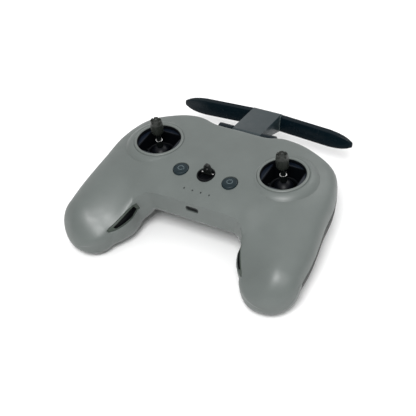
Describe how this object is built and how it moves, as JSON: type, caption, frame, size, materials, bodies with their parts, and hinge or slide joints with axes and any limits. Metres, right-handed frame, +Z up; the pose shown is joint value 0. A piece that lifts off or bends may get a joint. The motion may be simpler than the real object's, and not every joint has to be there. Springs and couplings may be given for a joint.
{
  "type": "radio transmitter controller",
  "caption": "Hand-held gamepad-style radio transmitter with two sprung sticks, face and shoulder controls and a folding T antenna.",
  "frame": {"origin": "middle of the bounding box, on the level of the feet's undersides", "axes": "+X to the operator's right, +Y away from the operator towards the antenna, +Z up out of the face"},
  "size_m": [0.1846, 0.1622, 0.0692],
  "materials": {
    "body_grey": "satin grey, fine moulded texture",
    "antenna_grey": "dark grey, fine moulded texture",
    "black_plastic": "black, satin",
    "black_rubber": "matt black",
    "button_slate": "dark slate, satin",
    "bright_steel": "polished",
    "board_green": "solder mask green",
    "lamp_white": "translucent white moulding",
    "cell_blue": "shrink sleeve"
  },
  "bodies": {
    "case": {"top_shell": "body_grey", "bottom_shell": "body_grey", "lanyard_cup": "black_plastic", "lanyard_pin": "bright_steel", "lamp_guide": "lamp_white", "charging_port": "bright_steel", "main_board": "board_green", "button_board": "board_green", "dial_axle": "bright_steel", "antenna_base": "antenna_grey", "antenna_pin": "bright_steel", "case_screw_1": "bright_steel", "case_screw_2": "bright_steel", "case_screw_3": "bright_steel", "case_screw_4": "bright_steel", "left_grip_pad": "black_rubber", "left_stick_tray": "black_plastic", "left_front_foot": "black_rubber", "left_rear_foot": "black_rubber", "left_gimbal_ring": "body_grey", "left_gimbal_housing": "black_plastic", "left_battery_cell": "cell_blue", "right_grip_pad": "black_rubber", "right_stick_tray": "black_plastic", "right_front_foot": "black_rubber", "right_rear_foot": "black_rubber", "right_gimbal_ring": "body_grey", "right_gimbal_housing": "black_plastic", "right_battery_cell": "cell_blue"},
    "left_yoke": {"left_outer_yoke": "black_plastic"},
    "left_stick": {"left_inner_yoke": "black_plastic", "left_stick_post": "black_plastic", "left_stick_collar": "bright_steel", "left_stick_grip": "black_plastic"},
    "right_yoke": {"right_outer_yoke": "black_plastic"},
    "right_stick": {"right_inner_yoke": "black_plastic", "right_stick_post": "black_plastic", "right_stick_collar": "bright_steel", "right_stick_grip": "black_plastic"},
    "antenna": {"antenna_arm": "antenna_grey", "left_antenna_blade": "antenna_grey", "right_antenna_blade": "antenna_grey"},
    "lanyard": {"lanyard_loop": "black_plastic"},
    "c1": {"c1_button": "button_slate"},
    "power": {"power_button": "button_slate"},
    "start_stop": {"start_stop_button": "button_slate"},
    "shutter": {"shutter_button": "button_slate"},
    "return_home": {"return_button": "button_slate"},
    "dial": {"gimbal_dial": "black_plastic"},
    "c2": {"c2_switch": "button_slate"},
    "mode": {"mode_switch": "button_slate"}
  },
  "joints": [
    {"name": "left_stick_pitch", "type": "hinge", "parent": "case", "child": "left_yoke", "pos_m": [-0.05, 0.0047, 0.038], "axis": [1, 0, 0], "range_deg": [-25, 25], "stiffness_Nm_per_rad": 0.012},
    {"name": "left_stick_roll", "type": "hinge", "parent": "left_yoke", "child": "left_stick", "pos_m": [-0.05, 0.0047, 0.038], "axis": [0, 1, 0], "range_deg": [-25, 25], "stiffness_Nm_per_rad": 0.012},
    {"name": "right_stick_pitch", "type": "hinge", "parent": "case", "child": "right_yoke", "pos_m": [0.05, 0.0047, 0.038], "axis": [1, 0, 0], "range_deg": [-25, 25], "stiffness_Nm_per_rad": 0.012},
    {"name": "right_stick_roll", "type": "hinge", "parent": "right_yoke", "child": "right_stick", "pos_m": [0.05, 0.0047, 0.038], "axis": [0, 1, 0], "range_deg": [-25, 25], "stiffness_Nm_per_rad": 0.012},
    {"name": "antenna_fold", "type": "hinge", "parent": "case", "child": "antenna", "pos_m": [0, 0.0453, 0.0402], "axis": [1, 0, 0], "range_deg": [-60, 0]},
    {"name": "lanyard_fold", "type": "hinge", "parent": "case", "child": "lanyard", "pos_m": [0, -0.012, 0.0492], "axis": [1, 0, 0], "range_deg": [0, 90]},
    {"name": "c1_press", "type": "slide", "parent": "case", "child": "c1", "axis": [0, 0, -1], "range_m": [0, 0.0008], "stiffness_N_per_m": 400, "springref_m": -0.0008},
    {"name": "power_press", "type": "slide", "parent": "case", "child": "power", "axis": [0, 0, -1], "range_m": [0, 0.0008], "stiffness_N_per_m": 400, "springref_m": -0.0008},
    {"name": "start_stop_press", "type": "slide", "parent": "case", "child": "start_stop", "axis": [0, -1, 0], "range_m": [0, 0.0008], "stiffness_N_per_m": 400, "springref_m": -0.0008},
    {"name": "shutter_press", "type": "slide", "parent": "case", "child": "shutter", "axis": [0, -1, 0], "range_m": [0, 0.0008], "stiffness_N_per_m": 400, "springref_m": -0.0008},
    {"name": "return_press", "type": "slide", "parent": "case", "child": "return_home", "axis": [-0.3256, -0.9455, 0], "range_m": [0, 0.0008], "stiffness_N_per_m": 400, "springref_m": -0.0008},
    {"name": "dial_turn", "type": "hinge", "parent": "case", "child": "dial", "pos_m": [-0.051, 0.0359, 0.0315], "axis": [0, 0, 1], "range_deg": [-30, 30], "stiffness_Nm_per_rad": 0.004},
    {"name": "c2_tilt", "type": "hinge", "parent": "case", "child": "c2", "pos_m": [-0.06457, 0.03324, 0.0315], "axis": [0, 0, 1], "range_deg": [-12, 12], "stiffness_Nm_per_rad": 0.003},
    {"name": "mode_slide", "type": "slide", "parent": "case", "child": "mode", "axis": [1, 0, 0], "range_m": [-0.0038, 0.0038]}
  ]
}
